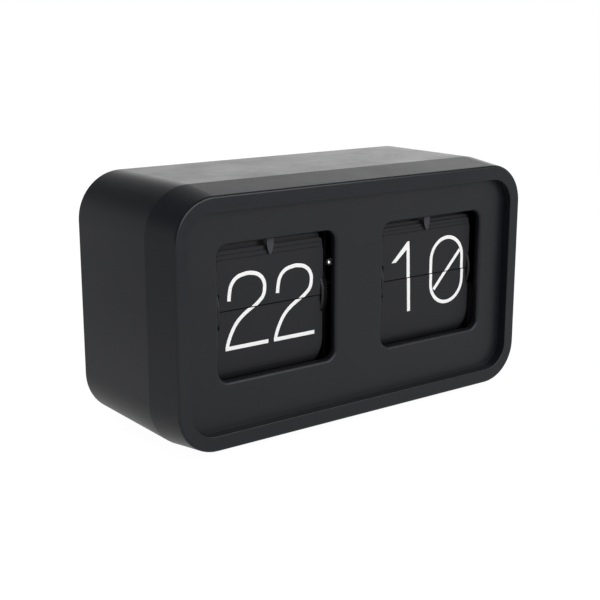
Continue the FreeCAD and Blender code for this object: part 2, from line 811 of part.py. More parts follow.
def leaf_blank(leaves, loose):
    """A leaf that stands up from its pins, which lie on the X axis."""
    tail = at_angle(pin_radius, 180.0 / leaves)[1] - leaf_split / 2
    waist = leaf_waist / 2
    full = leaf_width / 2
    pin_end = drum_half_width + groove_depth - side_gap
    y = -leaf_thickness / 2
    c = leaf_corner
    k = c * (1 - math.sqrt(0.5))
    half = [(waist, -tail)]
    if not loose:
        half += [(waist, -leaf_pin_radius), (pin_end, -leaf_pin_radius)]
        half += [(pin_end, leaf_pin_radius), (waist, leaf_pin_radius)]
    half += [(waist, leaf_notch - leaf_notch_corner), (waist + leaf_notch_corner, leaf_notch)]
    half += [(full - leaf_notch_corner, leaf_notch), (full, leaf_notch + leaf_notch_corner)]
    half += [(full, leaf_length - c)]
    right = [V(px, y, pz) for px, pz in half]
    left = [V(-px, y, pz) for px, pz in reversed(half)]
    edges = [Part.LineSegment(a, b).toShape() for a, b in zip(right, right[1:])]
    top_right = V(full - c, y, leaf_length)
    top_left = V(-full + c, y, leaf_length)
    edges.append(Part.Arc(right[-1], V(full - k, y, leaf_length - k), top_right).toShape())
    edges.append(Part.LineSegment(top_right, top_left).toShape())
    edges.append(Part.Arc(top_left, V(-full + k, y, leaf_length - k), left[0]).toShape())
    edges += [Part.LineSegment(a, b).toShape() for a, b in zip(left, left[1:])]
    edges.append(Part.LineSegment(left[-1], right[0]).toShape())
    blank = prism_y(Part.Wire(edges), leaf_thickness)
    if loose:
        root = waist - leaf_pin_root
        pins = [rod_x(leaf_pin_radius, root, pin_end, 0, 0), rod_x(leaf_pin_radius, -pin_end, -root, 0, 0)]
        blank = fuse_all([blank] + pins)
    return blank


def placed_leaf(blank, centre_x, position, lean, lift=0.0):
    """A leaf at this angle up round the drum from its front, leaning back this far from upright."""
    y, z = around_axle(pin_radius + lift, 180.0 - position)
    leaf = blank.copy()
    leaf.Placement = FreeCAD.Placement(V(centre_x, y, z), FreeCAD.Rotation(V(1, 0, 0), -lean))
    return leaf


def leaf_lean(position):
    return max(0.0, leaf_lean_rate * (position - leaf_lean_from))


def make_leaves(name, centre_x, leaves, rise):
    """The falling leaf, the front lower leaf and the rest of one drum's leaves."""
    blank = leaf_blank(leaves, False)
    phase = split_phase(rise)
    pitch = 360.0 / leaves
    front = phase + pitch / 2
    upper = []
    lower = []
    for k in range(1, leaves // 2):
        position = front + pitch * k
        upper.append(placed_leaf(blank, centre_x, position, leaf_lean(position)))
        lower.append(placed_leaf(blank, centre_x, position - pitch * (2 * k + 1), 180.0))
    falling = placed_leaf(leaf_blank(leaves, True), centre_x, front, 0.0, falling_leaf_lift)
    return {
        name + "_falling_leaf": falling,
        name + "_lower_leaf": placed_leaf(blank, centre_x, front - pitch, 180.0),
        name + "_upper_stack": Part.makeCompound(upper),
        name + "_lower_stack": Part.makeCompound(lower),
    }


def make_finger(centre_x, leaves, rise):
    """A flat finger that comes down to the top edge of the front leaf, bent back under the top bar."""
    tip = leaf_top_z(leaves, rise) + finger_tip_gap
    x = centre_x + finger_offset
    y = finger_y
    half = finger_width / 2
    r = finger_tip_radius
    shoulder = tip + finger_taper
    side = (half + r) / 2 + finger_bulge
    middle = (shoulder + tip + r) / 2
    low_left = V(x - half, y, shoulder)
    low_right = V(x + half, y, shoulder)
    top_left = V(x - half, y, top_bar_height)
    top_right = V(x + half, y, top_bar_height)
    tip_left = V(x - r, y, tip + r)
    tip_right = V(x + r, y, tip + r)
    edges = [
        Part.LineSegment(top_left, low_left).toShape(),
        Part.Arc(low_left, V(x - side, y, middle), tip_left).toShape(),
        Part.Arc(tip_left, V(x, y, tip), tip_right).toShape(),
        Part.Arc(tip_right, V(x + side, y, middle), low_right).toShape(),
        Part.LineSegment(low_right, top_right).toShape(),
        Part.LineSegment(top_right, top_left).toShape(),
    ]
    blade = prism_y(Part.Wire(edges), finger_thickness)
    tab_z = top_bar_height - finger_thickness
    tab = box(x - half, x + half, y, y + finger_tab, tab_z, top_bar_height)
    sx, sy = finger_screw_place(centre_x)
    return fuse_all([blade, tab]).cut(screw_hole(sx, sy, top_bar_height, (0, 0, -1), finger_thickness))


# Gears of the drive, the hour train and the setting wheel
minute_gear_phase = 0.0
drive_phase = meshing_phase(minute_gear_teeth, minute_gear_phase, drive_angle, drive_pinion_teeth)
idler_phase = meshing_phase(minute_gear_teeth, minute_gear_phase, 0.0, idler_teeth)
setting_phase = meshing_phase(idler_teeth, idler_phase, 0.0, setting_gear_teeth)
transfer_phase = meshing_phase(minute_pinion_teeth, 0.0, arbor_angle, transfer_gear_teeth)
hour_gear_phase = meshing_phase(transfer_pinion_teeth, transfer_phase, arbor_angle + 180.0, hour_gear_teeth)


def make_minute_gear():
    """The large gear on the minute drum's outer end."""
    x1 = right_plate_x - side_gap
    phase = minute_gear_phase
    wheel = gear(minute_gear_teeth, drive_module_size, phase, drive_gear_x, axis_y, axis_z, gear_face)
    return drum_wheel(wheel, drive_gear_x, x1, drive_gear_x, x1)


def make_minute_pinion():
    x0 = centre_right_x + sheet + side_gap
    x1 = fast_gear_x + gear_face + pinion_extra
    teeth_x0 = fast_gear_x - pinion_extra
    wheel = gear(minute_pinion_teeth, fast_module, 0.0, teeth_x0, axis_y, axis_z, x1 - teeth_x0)
    return drum_wheel(wheel, x0, teeth_x0 + 1.0, x0, x1)


def make_hour_gear():
    x1 = centre_left_x - side_gap
    wheel = gear(hour_gear_teeth, slow_module, hour_gear_phase, slow_gear_x, axis_y, axis_z, gear_face)
    return drum_wheel(wheel, slow_gear_x, x1, slow_gear_x, x1)


def make_transfer_gear():
    x0 = centre_right_x + sheet + side_gap
    x1 = fast_gear_x + gear_face
    wheel = gear(transfer_gear_teeth, fast_module, transfer_phase, fast_gear_x, arbor_y, arbor_z, gear_face)
    boss = rod_x(arbor_shoulder_radius, x0, x1, arbor_y, arbor_z)
    return fuse_all([wheel, boss]).cut(rod_x(arbor_radius, x0 - 1.0, x1 + 1.0, arbor_y, arbor_z))


def make_transfer_arbor():
    """A thin arbor with the slow pinion cut on its left end."""
    x0 = slow_gear_x - pinion_extra
    x1 = slow_gear_x + gear_face + pinion_extra
    pinion = gear(transfer_pinion_teeth, slow_module, transfer_phase, x0, arbor_y, arbor_z, x1 - x0)
    shoulder = rod_x(arbor_shoulder_radius, x1 - 1.0, centre_left_x - side_gap, arbor_y, arbor_z)
    return fuse_all([pinion, shoulder, rod_x(arbor_radius, x0, fast_gear_x + gear_face, arbor_y, arbor_z)])


def make_drive_pinion():
    x0 = drive_gear_x - pinion_extra
    face = gear_face + 2 * pinion_extra
    pinion = gear(drive_pinion_teeth, drive_module_size, drive_phase, x0, drive_y, drive_z, face)
    shaft_x1 = unit_x + drive_shaft_depth
    return fuse_all([pinion, rod_x(drive_shaft_radius, drive_gear_x, shaft_x1, drive_y, drive_z)])


def make_drive_unit():
    """The motor and its reduction gears in one moulded box, outside the right plate."""
    half = unit_size / 2
    body = box(unit_x, unit_x + unit_width, drive_y - half, drive_y + half, unit_z - half, unit_z + half)
    long_edges = [edge for edge in body.Edges if abs(edge.BoundBox.XLength - unit_width) < 1e-4]
    body = body.makeFillet(unit_corner, long_edges)
    spigot = rod_x(unit_spigot_radius, right_plate_x, unit_x + 1.0, drive_y, drive_z)
    bore_end = unit_x + drive_shaft_depth + side_gap
    cuts = [rod_x(drive_shaft_radius + running_gap, right_plate_x - 1.0, bore_end, drive_y, drive_z)]
    for y, z in drive_screw_places():
        cuts.append(screw_hole(unit_x, y, z, (1, 0, 0), screw_length - sheet))
    return cut_all(fuse_all([body, spigot]), cuts)


def make_idler_gear():
    wheel = gear(idler_teeth, drive_module_size, idler_phase, drive_gear_x, idler_y, axis_z, gear_face)
    x1 = drive_gear_x + gear_face
    return wheel.cut(rod_x(axle_radius + running_gap, drive_gear_x - 1.0, x1 + 1.0, idler_y, axis_z))


def make_setting_gear():
    phase = setting_phase
    wheel = gear(setting_gear_teeth, drive_module_size, phase, drive_gear_x, setting_y, axis_z, gear_face)
    shoulder = rod_x(setting_shoulder_radius, drive_gear_x, right_plate_x - side_gap, setting_y, axis_z)
    shaft_x1 = setting_wheel_x + setting_wheel_width
    shaft = rod_x(setting_shaft_radius, drive_gear_x, shaft_x1, setting_y, axis_z)
    return fuse_all([wheel, shoulder, shaft])


def make_setting_wheel():
    x0 = setting_wheel_x
    x1 = x0 + setting_wheel_width
    wheel = rod_x(setting_wheel_radius, x0, x1, setting_y, axis_z)
    wheel = wheel.makeFillet(setting_wheel_edge, closed_edges(wheel))
    boss_x0 = right_plate_x + sheet + side_gap
    wheel = fuse_all([wheel, rod_x(setting_shoulder_radius, boss_x0, x0 + 1.0, setting_y, axis_z)])
    cuts = [rod_x(setting_shaft_radius, boss_x0 - 1.0, x1 + 1.0, setting_y, axis_z)]
    for k in range(setting_wheel_grips):
        dy, dz = at_angle(setting_wheel_radius, 360.0 * k / setting_wheel_grips)
        cuts.append(rod_x(setting_grip_depth, x0 - 1.0, x1 + 1.0, setting_y + dy, axis_z + dz))
    return cut_all(wheel, cuts)


# Leads
def lead_path(points):
    """Straight runs joined by tangent arcs, each as large as its two runs allow."""
    edges = []
    start = points[0]
    for before, corner, after in zip(points, points[1:], points[2:]):
        a = before - corner
        b = after - corner
        cut = lead_bend_share * min(a.Length, b.Length)
        half_turn = (math.pi - a.getAngle(b)) / 2
        radius = cut / math.tan(half_turn)
        a.normalize()
        b.normalize()
        inward = a + b
        inward.normalize()
        p = corner + a * cut
        q = corner + b * cut
        middle = corner + inward * (radius / math.cos(half_turn) - radius)
        edges.append(Part.LineSegment(start, p).toShape())
        edges.append(Part.Arc(p, middle, q).toShape())
        start = q
    edges.append(Part.LineSegment(start, points[-1]).toShape())
    return Part.Wire(edges)


def make_lead(points):
    path = lead_path(points)
    circle = Part.Wire(Part.makeCircle(lead_radius, points[0], points[1] - points[0]))
    return path.makePipeShell([circle], True, False)


def unit_entry(side):
    """The end of a lead: a point behind the drive unit and the point where it goes in."""
    x = unit_x + unit_width / 2 + side * lead_entry_spread
    y = drive_y + unit_size / 2
    return [V(x, y + unit_size / 2, unit_z), V(x, y, unit_z)]


def make_positive_lead():
    """From the slot in the bay wall along the back of the frame to the drive unit."""
    y = right_frame_rear_y + lead_behind_frame
    z = cell_height
    plate = right_plate_x
    points = [
        V(bay_half, lead_y, z),
        V(bay_half + lead_exit_run, lead_y, z),
        V(bay_half + lead_slack_run, y + lead_sway, z - lead_sag),
        V(plate - lead_rise_run, y, z - lead_sag),
        V(plate + unit_width / 2, y + lead_sway, axis_z - setting_wheel_radius - lead_below_wheel),
    ]
    return make_lead(points + unit_entry(-1))


def make_negative_lead():
    """From the other bay wall, down and under the bay, and on beside the positive lead."""
    y = right_frame_rear_y + lead_behind_frame + lead_spacing
    z = cell_height - bay_half_height - bay_wall - lead_below_bay
    turn = lead_exit_run - lead_spacing
    plate = right_plate_x
    points = [
        V(-bay_half, lead_y, cell_height),
        V(-bay_half - turn, lead_y, cell_height),
        V(-bay_half - turn - 2 * lead_spacing, y, z + turn),
        V(-bay_half + sheet, y, z),
        V(0.0, y + lead_sway, z - lead_sag / 2),
        V(bay_half + bay_wall, y, z - lead_sag),
        V(plate - lead_slack_run, y + lead_sway, z),
        V(plate - lead_exit_run, y, z + 2 * lead_sag),
        V(plate + unit_width / 2, y - lead_sway, z + lead_exit_run + lead_sag),
    ]
    return make_lead(points + unit_entry(1))


# Groups of like fasteners and feet
def make_frame_screws():
    screws = []
    for x, side, y1 in frame_rows.values():
        for tx, ty in foot_screw_places(x, side, y1):
            screws.append(screw(tx, ty, plate_foot_z + sheet, (0, 0, -1), 2 * sheet))
    for tx, ty in top_bar_screw_places():
        grip = top_bar_sheet + finger_thickness
        screws.append(screw(tx, ty, top_bar_height + top_bar_sheet, (0, 0, -1), grip))
    for y, z in drive_screw_places():
        screws.append(screw(right_plate_x, y, z, (1, 0, 0), screw_length))
    return Part.makeCompound(screws)


def make_face_plate_screws():
    length = screw_length - boss_sink
    return Part.makeCompound([screw(x, plate_rear_y, z, (0, -1, 0), length) for x, z in plate_screw_places()])


def make_rear_cover_screws():
    length = 2 * screw_length
    return Part.makeCompound([screw(x, cover_rear_y, z, (0, -1, 0), length) for x, z in post_places()])


def make_base_screws():
    length = base_clearance
    return Part.makeCompound([screw(x, y, plate_foot_z, (0, 0, -1), length) for x, y in base_screw_places()])


def make_feet():
    feet = []
    half = case_width / 2 - foot_side_inset
    for x in (-half, half):
        for y in (front_y + foot_front_inset, rear_y - foot_rear_inset):
            feet.append(rod_z(foot_radius, 0.0, foot_height, x, y))
    return Part.makeCompound(feet)


# The whole clock
def build():
    minute_boss = gear_standoff - pinion_extra
    nodes = {
        "case_shell": make_case_shell(),
        "face_plate": make_face_plate(),
        "rear_cover": make_rear_cover(),
        "battery_door": make_battery_door(),
        "rubber_feet": make_feet(),
        "battery_cell": make_cell(),
        "positive_contact": make_positive_contact(),
        "negative_contact": make_negative_contact(),
        "positive_lead": make_positive_lead(),
        "negative_lead": make_negative_lead(),
        "frame_base": make_frame_base(),
        "frame_top_bar": make_top_bar(),
        "main_axle": make_axle(),
        "axle_clips": make_axle_clips(),
        "centre_stud": make_centre_stud(),
        "idler_stud": make_idler_stud(),
        "hour_finger": make_finger(hour_x, hour_leaves, hour_split_rise),
        "minute_finger": make_finger(minute_x, minute_leaves, minute_split_rise),
        "hour_flange_left": make_flange(hour_x, -1, left_end_gap - side_gap),
        "hour_flange_right": make_flange(hour_x, 1, gear_standoff),
        "hour_hub": make_hub(hour_x),
        "hour_gear": make_hour_gear(),
        "minute_flange_left": make_flange(minute_x, -1, minute_boss),
        "minute_flange_right": make_flange(minute_x, 1, gear_standoff),
        "minute_hub": make_hub(minute_x),
        "minute_pinion": make_minute_pinion(),
        "minute_gear": make_minute_gear(),
        "transfer_gear": make_transfer_gear(),
        "transfer_arbor": make_transfer_arbor(),
        "drive_unit": make_drive_unit(),
        "drive_pinion": make_drive_pinion(),
        "setting_idler": make_idler_gear(),
        "setting_gear": make_setting_gear(),
        "setting_wheel": make_setting_wheel(),
        "face_plate_screws": make_face_plate_screws(),
        "rear_cover_screws": make_rear_cover_screws(),
        "base_screws": make_base_screws(),
        "frame_screws": make_frame_screws(),
    }
    for name in frame_rows:
        nodes[name] = make_frame_plate(name)
    nodes.update(make_leaves("hour", hour_x, hour_leaves, hour_split_rise))
    nodes.update(make_leaves("minute", minute_x, minute_leaves, minute_split_rise))
    return nodes


os.makedirs("parts", exist_ok=True)
for node_name, shape in build().items():
    shape.exportStep("parts/" + node_name + ".step")
    state = "ok" if shape.isValid() else "INVALID"
    print(node_name, state, len(shape.Solids), round(shape.Volume, 1))
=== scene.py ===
import json
import math

import bpy
from mathutils import Matrix, Vector


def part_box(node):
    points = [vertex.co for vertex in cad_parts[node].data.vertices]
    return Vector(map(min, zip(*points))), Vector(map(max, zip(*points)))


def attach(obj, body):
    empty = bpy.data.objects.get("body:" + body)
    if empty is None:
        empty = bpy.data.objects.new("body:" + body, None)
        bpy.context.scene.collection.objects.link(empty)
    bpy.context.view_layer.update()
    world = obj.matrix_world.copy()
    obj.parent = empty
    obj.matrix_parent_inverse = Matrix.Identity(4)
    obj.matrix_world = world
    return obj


# A wide two-window flip clock in matt black plastic, in a plain white studio.
# The card faces are laid out in millimetres, everything else is in metres.

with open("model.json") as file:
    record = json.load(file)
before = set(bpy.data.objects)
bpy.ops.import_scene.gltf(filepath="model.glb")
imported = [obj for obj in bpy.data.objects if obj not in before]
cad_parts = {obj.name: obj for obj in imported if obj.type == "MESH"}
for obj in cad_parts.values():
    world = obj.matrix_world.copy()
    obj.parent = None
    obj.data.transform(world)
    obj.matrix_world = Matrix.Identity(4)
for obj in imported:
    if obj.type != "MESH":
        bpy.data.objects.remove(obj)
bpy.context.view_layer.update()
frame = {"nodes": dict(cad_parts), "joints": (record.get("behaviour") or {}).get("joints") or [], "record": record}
nodes = frame["nodes"]
bpy.ops.object.select_all(action="DESELECT")

MM = 0.001

# Printed numerals
stroke_width = 3.15
ink_depth = 0.05
crossing_depth = 0.04
curve_steps = 10
round_step = 10
second_digit_shift = 46.4
sheet_half = 0.1
pin_ring_radius = 28.7

# Raised marks on the back
mark_height = 0.4
mark_width = 1.3
arrow_x = 138.0
arrow_head = 5.0
arrow_half_length = 19.0
sign_x = 46.5
sign_size = 7.0
grip_ribs = 5
grip_rib_pitch = 2.2
grip_rib_length = 26.0
grip_rib_width = 1.0
grip_drop = 7.0
arrow_wing_share = 0.55
cover_face = 69.0

# Leaves on each drum
hour_leaves = 48
minute_leaves = 60

# Surfaces
dust_color = (0.22, 0.21, 0.2, 1.0)
dust_roughness = 0.9
bare_can = (0.55, 0.54, 0.52, 1.0)
can_from = -0.0280
can_to = 0.0335
can_wrap_start = 0.02
can_copper_start = 0.70
can_cap_start = 0.945

# Studio: each range maps a direction or a place to a brightness, as from, from, to, to
room_light = 0.45
room_white = 1.0
wall_by_x = (-0.1, 0.75, 0.25, 1.1)
wall_by_y = (-0.3, 0.3, 0.45, 1.0)
wall_by_z = (0.12, 0.42, 1.2, 0.33)
floor_size = 12.0
floor_drop = 0.0002
floor_white = 0.975
floor_span = (-0.9, 0.4)
floor_ends = ((0.0, 0.46), (1.0, 0.30))
floor_middle = ((0.5, 0.63), (0.73, 0.41))

# Camera, solved from the photo
sensor_width = 36.0
camera_lens = 69.80
camera_near = 0.01
camera_place = (-0.604, -0.7894, 0.3356)
camera_turn = (1.3293, 0.0, -0.643)


# Helpers for mesh pieces
def pick(piece):
    bpy.ops.object.select_all(action="DESELECT")
    piece.select_set(True)
    bpy.context.view_layer.objects.active = piece


def apply_modifier(piece, kind, **settings):
    pick(piece)
    modifier = piece.modifiers.new(kind.title(), kind)
    for name, value in settings.items():
        setattr(modifier, name, value)
    bpy.ops.object.modifier_apply(modifier=modifier.name)


def join(name, pieces):
    pick(pieces[0])
    for piece in pieces:
        piece.select_set(True)
    if len(pieces) > 1:
        bpy.ops.object.join()
    pieces[0].name = name
    pieces[0].data.name = name
    return pieces[0]


def outward(piece):
    pick(piece)
    bpy.ops.object.mode_set(mode="EDIT")
    bpy.ops.mesh.select_all(action="SELECT")
    bpy.ops.mesh.remove_doubles(threshold=0.002)
    bpy.ops.mesh.normals_make_consistent(inside=False)
    bpy.ops.object.mode_set(mode="OBJECT")


def pen_line(points, cyclic, sharp):
    """A Bezier line on the card through these points. Points named in sharp are corners."""
    bpy.ops.curve.primitive_bezier_curve_add(location=(0, 0, 0))
    line = bpy.context.object
    data = line.data
    data.splines.clear()
    spline = data.splines.new("BEZIER")
    spline.bezier_points.add(len(points) - 1)
    spline.use_cyclic_u = cyclic
    spline.resolution_u = curve_steps
    for index, (bezier, place) in enumerate(zip(spline.bezier_points, points)):
        bezier.co = (place[0], place[1], 0.0)
        kind = "VECTOR" if index in sharp else "AUTO"
        bezier.handle_left_type = kind
        bezier.handle_right_type = kind
    return line


def stroke(points, cyclic=False, sharp=(), width=stroke_width, depth=ink_depth):
    """A flat stroke of even width with square ends."""
    line = pen_line(points, cyclic, sharp)
    pick(line)
    bpy.ops.object.convert(target="MESH")
    bpy.ops.object.mode_set(mode="EDIT")
    bpy.ops.mesh.select_all(action="SELECT")
    bpy.ops.mesh.extrude_region_move(TRANSFORM_OT_translate={"value": (0, 0, depth)})
    bpy.ops.object.mode_set(mode="OBJECT")
    piece = bpy.context.object
    apply_modifier(piece, "SOLIDIFY", thickness=width, offset=0.0, use_even_offset=True)
    outward(piece)
    return piece


def filled_shape(outline, depth=ink_depth):
    """A flat shape with straight edges, filled inside its outline."""
    line = pen_line(outline, True, range(len(outline)))
    line.data.dimensions = "2D"
    line.data.fill_mode = "BOTH"
    line.data.extrude = depth / 2
    line.data.splines[0].resolution_u = 1
    pick(line)
    bpy.ops.object.convert(target="MESH")
    piece = bpy.context.object
    piece.data.transform(Matrix.Translation((0, 0, depth / 2)))
    outward(piece)
    return piece


def keep_side(piece, height, above):
    """Cuts a flat piece along a level line of the card and closes the cut."""
    pick(piece)
    bpy.ops.object.mode_set(mode="EDIT")
    bpy.ops.mesh.select_all(action="SELECT")
    bpy.ops.mesh.bisect(
        plane_co=(0, height, 0), plane_no=(0, 1, 0), use_fill=True,
        clear_inner=above, clear_outer=not above,
    )
    bpy.ops.object.mode_set(mode="OBJECT")


def stand_on_card(piece, centre_x, face_y, rise=0.0):
    """From the flat card to a card that stands with its printed side to the front."""
    card = Matrix(((1, 0, 0, centre_x), (0, 0, -1, face_y), (0, 1, 0, rise), (0, 0, 0, 1)))
    piece.data.transform(Matrix.Scale(MM, 4) @ card)


def hang_behind_card(piece, centre_x, face_y, rise):
    """Upside down on the back of a standing card, so that it reads upright when the card has fallen."""
    card = Matrix(((1, 0, 0, centre_x), (0, 0, 1, face_y), (0, -1, 0, rise), (0, 0, 0, 1)))
    piece.data.transform(Matrix.Scale(MM, 4) @ card)


# Node groups
def new_group(name, inputs, outputs):
    group = bpy.data.node_groups.new(name, "ShaderNodeTree")
    for socket, kind, value in inputs:
        made = group.interface.new_socket(socket, in_out="INPUT", socket_type=kind)
        made.default_value = value
    for socket, kind in outputs:
        group.interface.new_socket(socket, in_out="OUTPUT", socket_type=kind)
    return group, group.nodes.new("NodeGroupInput"), group.nodes.new("NodeGroupOutput")


def add_node(tree, kind, settings=(), values=()):
    node = tree.nodes.new(kind)
    for name, value in dict(settings).items():
        setattr(node, name, value)
    for name, value in dict(values).items():
        node.inputs[name].default_value = value
    return node


def make_grain_group():
    """Fine moulded grain: a normal, and how much the shine varies with it."""
    group, given, result = new_group(
        "moulded grain",
        [("Grain per metre", "NodeSocketFloat", 1500.0), ("Depth", "NodeSocketFloat", 0.2),
         ("Roughness", "NodeSocketFloat", 0.5), ("Roughness range", "NodeSocketFloat", 0.03)],
        [("Normal", "NodeSocketVector"), ("Roughness", "NodeSocketFloat")],
    )
    place = add_node(group, "ShaderNodeTexCoord")
    fine = add_node(group, "ShaderNodeTexNoise", values={"Detail": 3.0, "Roughness": 0.6})
    broad = add_node(group, "ShaderNodeTexNoise", values={"Scale": 26.0, "Detail": 4.0, "Roughness": 0.55})
    bump = add_node(group, "ShaderNodeBump", values={"Distance": 0.00025})
    swing = add_node(group, "ShaderNodeMapRange", values={"From Min": 0.3, "From Max": 0.7})
    low = add_node(group, "ShaderNodeMath", {"operation": "SUBTRACT"})
    high = add_node(group, "ShaderNodeMath", {"operation": "ADD"})
    link = group.links.new
    link(place.outputs["Object"], fine.inputs["Vector"])
    link(place.outputs["Object"], broad.inputs["Vector"])
    link(given.outputs["Grain per metre"], fine.inputs["Scale"])
    link(given.outputs["Depth"], bump.inputs["Strength"])
    link(fine.outputs["Fac"], bump.inputs["Height"])
    link(given.outputs["Roughness"], low.inputs[0])
    link(given.outputs["Roughness range"], low.inputs[1])
    link(given.outputs["Roughness"], high.inputs[0])
    link(given.outputs["Roughness range"], high.inputs[1])
    link(broad.outputs["Fac"], swing.inputs["Value"])
    link(low.outputs[0], swing.inputs["To Min"])
    link(high.outputs[0], swing.inputs["To Max"])
    link(bump.outputs["Normal"], result.inputs["Normal"])
    link(swing.outputs["Result"], result.inputs["Roughness"])
    return group


def make_tone_group():
    """A colour that drifts a little from place to place, as moulded and printed surfaces do."""
    group, given, result = new_group(
        "tone drift",
        [("Color", "NodeSocketColor", (0.5, 0.5, 0.5, 1.0)), ("Drift", "NodeSocketFloat", 0.1),
         ("Patches per metre", "NodeSocketFloat", 18.0)],
        [("Color", "NodeSocketColor")],
    )
    place = add_node(group, "ShaderNodeTexCoord")
    noise = add_node(group, "ShaderNodeTexNoise", values={"Detail": 5.0, "Roughness": 0.6})
    swing = add_node(group, "ShaderNodeMapRange", values={"From Min": 0.25, "From Max": 0.75})
    low = add_node(group, "ShaderNodeMath", {"operation": "SUBTRACT"}, {0: 1.0})
    high = add_node(group, "ShaderNodeMath", {"operation": "ADD"}, {0: 1.0})
    tint = add_node(group, "ShaderNodeVectorMath", {"operation": "SCALE"})
    link = group.links.new
    link(place.outputs["Object"], noise.inputs["Vector"])
    link(given.outputs["Patches per metre"], noise.inputs["Scale"])
    link(noise.outputs["Fac"], swing.inputs["Value"])
    link(given.outputs["Drift"], low.inputs[1])
    link(given.outputs["Drift"], high.inputs[1])
    link(low.outputs[0], swing.inputs["To Min"])
    link(high.outputs[0], swing.inputs["To Max"])
    link(given.outputs["Color"], tint.inputs[0])
    link(swing.outputs["Result"], tint.inputs["Scale"])
    link(tint.outputs[0], result.inputs["Color"])
    return group


def make_dust_group():
    """Fine dust that settles on faces turned up: how much of it lies at each place."""
    group, given, result = new_group(
        "settled dust",
        [("Amount", "NodeSocketFloat", 0.3), ("Specks per metre", "NodeSocketFloat", 420.0)],
        [("Mask", "NodeSocketFloat")],
    )
    place = add_node(group, "ShaderNodeTexCoord")
    facing = add_node(group, "ShaderNodeNewGeometry")
    split = add_node(group, "ShaderNodeSeparateXYZ")
    upward = add_node(group, "ShaderNodeMapRange", values={"From Min": 0.75, "From Max": 1.0})
    specks = add_node(group, "ShaderNodeTexNoise", values={"Detail": 6.0, "Roughness": 0.75})
    sparse = add_node(group, "ShaderNodeMapRange", values={"From Min": 0.52, "From Max": 0.74})
    both = add_node(group, "ShaderNodeMath", {"operation": "MULTIPLY"})
    amount = add_node(group, "ShaderNodeMath", {"operation": "MULTIPLY"})
    link = group.links.new
    link(facing.outputs["Normal"], split.inputs[0])
    link(split.outputs["Z"], upward.inputs["Value"])
    link(place.outputs["Object"], specks.inputs["Vector"])
    link(given.outputs["Specks per metre"], specks.inputs["Scale"])
    link(specks.outputs["Fac"], sparse.inputs["Value"])
    link(upward.outputs["Result"], both.inputs[0])
    link(sparse.outputs["Result"], both.inputs[1])
    link(both.outputs[0], amount.inputs[0])
    link(given.outputs["Amount"], amount.inputs[1])
    link(amount.outputs[0], result.inputs["Mask"])
    return group


def make_streak_group():
    """Fine parallel tool marks on metal, across the stretched direction."""
    group, given, result = new_group(
        "tool marks",
        [("Stretch", "NodeSocketVector", (1.0, 0.05, 0.05)), ("Marks per metre", "NodeSocketFloat", 6000.0),
         ("Depth", "NodeSocketFloat", 0.1), ("Roughness", "NodeSocketFloat", 0.3)],
        [("Normal", "NodeSocketVector"), ("Roughness", "NodeSocketFloat")],
    )
    place = add_node(group, "ShaderNodeTexCoord")
    stretch = add_node(group, "ShaderNodeVectorMath", {"operation": "MULTIPLY"})
    marks = add_node(group, "ShaderNodeTexNoise", values={"Detail": 2.0})
    bump = add_node(group, "ShaderNodeBump", values={"Distance": 0.0001})
    shift = add_node(group, "ShaderNodeMapRange", values={"To Min": -0.08, "To Max": 0.12})
    total = add_node(group, "ShaderNodeMath", {"operation": "ADD"})
    link = group.links.new
    link(place.outputs["Object"], stretch.inputs[0])
    link(given.outputs["Stretch"], stretch.inputs[1])
    link(stretch.outputs[0], marks.inputs["Vector"])
    link(given.outputs["Marks per metre"], marks.inputs["Scale"])
    link(marks.outputs["Fac"], bump.inputs["Height"])
    link(given.outputs["Depth"], bump.inputs["Strength"])
    link(marks.outputs["Fac"], shift.inputs["Value"])
    link(shift.outputs["Result"], total.inputs[0])
    link(given.outputs["Roughness"], total.inputs[1])
    link(bump.outputs["Normal"], result.inputs["Normal"])
    link(total.outputs[0], result.inputs["Roughness"])
    return group


grain_group = make_grain_group()
tone_group = make_tone_group()
dust_group = make_dust_group()
streak_group = make_streak_group()


# Materials
def new_material(name):
    material = bpy.data.materials.new(name)
    material.use_nodes = True
    tree = material.node_tree
    return material, tree, tree.nodes["Principled BSDF"]


def use_group(tree, group, values):
    node = add_node(tree, "ShaderNodeGroup", {"node_tree": group})
    for name, value in values.items():
        node.inputs[name].default_value = value
    return node


def drifting_color(tree, color, drift, patches=18.0):
    values = {"Color": (*color, 1.0), "Drift": drift, "Patches per metre": patches}
    tone = use_group(tree, tone_group, values)
    return tone.outputs["Color"]


def moulded(name, color, roughness, grain=1500.0, depth=0.2, drift=0.12, index=1.45, dust=0.0):
    """Moulded or painted surface with fine grain. With dust, its upper faces carry a little."""
    material, tree, shader = new_material(name)
    link = tree.links.new
    skin = use_group(tree, grain_group, {"Grain per metre": grain, "Depth": depth, "Roughness": roughness})
    base = drifting_color(tree, color, drift)
    shader.inputs["IOR"].default_value = index
    link(skin.outputs["Normal"], shader.inputs["Normal"])
    if dust > 0.0:
        settled = use_group(tree, dust_group, {"Amount": dust})
        mix = add_node(tree, "ShaderNodeMix", {"data_type": "RGBA"})
        mix.inputs["B"].default_value = dust_color
        rougher = add_node(tree, "ShaderNodeMix", {"data_type": "FLOAT"}, {"B": dust_roughness})
        link(settled.outputs["Mask"], mix.inputs["Factor"])
        link(base, mix.inputs["A"])
        link(mix.outputs["Result"], shader.inputs["Base Color"])
        link(settled.outputs["Mask"], rougher.inputs["Factor"])
        link(skin.outputs["Roughness"], rougher.inputs["A"])
        link(rougher.outputs["Result"], shader.inputs["Roughness"])
    else:
        link(base, shader.inputs["Base Color"])
        link(skin.outputs["Roughness"], shader.inputs["Roughness"])
    return material


